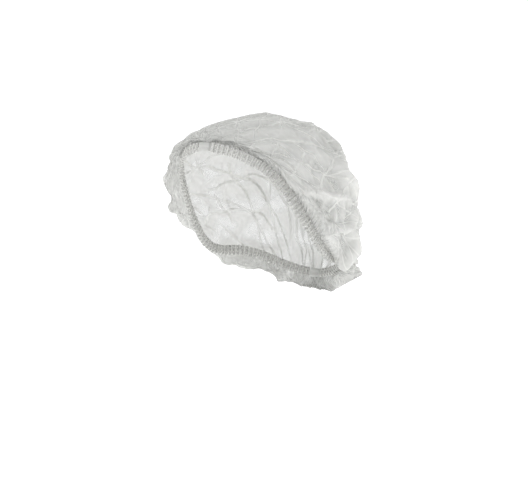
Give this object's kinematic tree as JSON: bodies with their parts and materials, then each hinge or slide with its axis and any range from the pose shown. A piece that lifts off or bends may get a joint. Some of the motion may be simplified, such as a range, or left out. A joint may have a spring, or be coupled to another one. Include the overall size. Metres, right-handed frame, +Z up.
{
  "type": "disposable pleated mob cap",
  "caption": "Loose pleated non-woven head cover gathered into two elastic edge bands that meet at pinched tabs at the brow and nape.",
  "frame": {"origin": "middle of the head opening, half way between the free edges of the brow tab and the nape tab", "axes": "+Z up as worn, -Y the way the wearer faces, +X to the wearer's left"},
  "size_m": [0.2242, 0.2151, 0.2033],
  "materials": {
    "pleated_sheet": "thin translucent white spunbond, matt with a faint bonded dot pattern",
    "band_fabric": "folded and gathered white spunbond, matt",
    "elastic_cord": "pale elastic cord, matt",
    "sewing_thread": "white polyester thread",
    "pressed_tab": "many layers of white spunbond pressed together"
  },
  "bodies": {
    "root": {"crown": "pleated_sheet", "left_band": "band_fabric", "right_band": "band_fabric", "left_outer_elastic": "elastic_cord", "left_inner_elastic": "elastic_cord", "right_outer_elastic": "elastic_cord", "right_inner_elastic": "elastic_cord", "left_outer_needle_thread": "sewing_thread", "left_inner_needle_thread": "sewing_thread", "right_outer_needle_thread": "sewing_thread", "right_inner_needle_thread": "sewing_thread", "left_outer_looper_thread": "sewing_thread", "left_inner_looper_thread": "sewing_thread", "right_outer_looper_thread": "sewing_thread", "right_inner_looper_thread": "sewing_thread", "brow_tab": "pressed_tab", "nape_tab": "pressed_tab"}
  },
  "joints": []
}
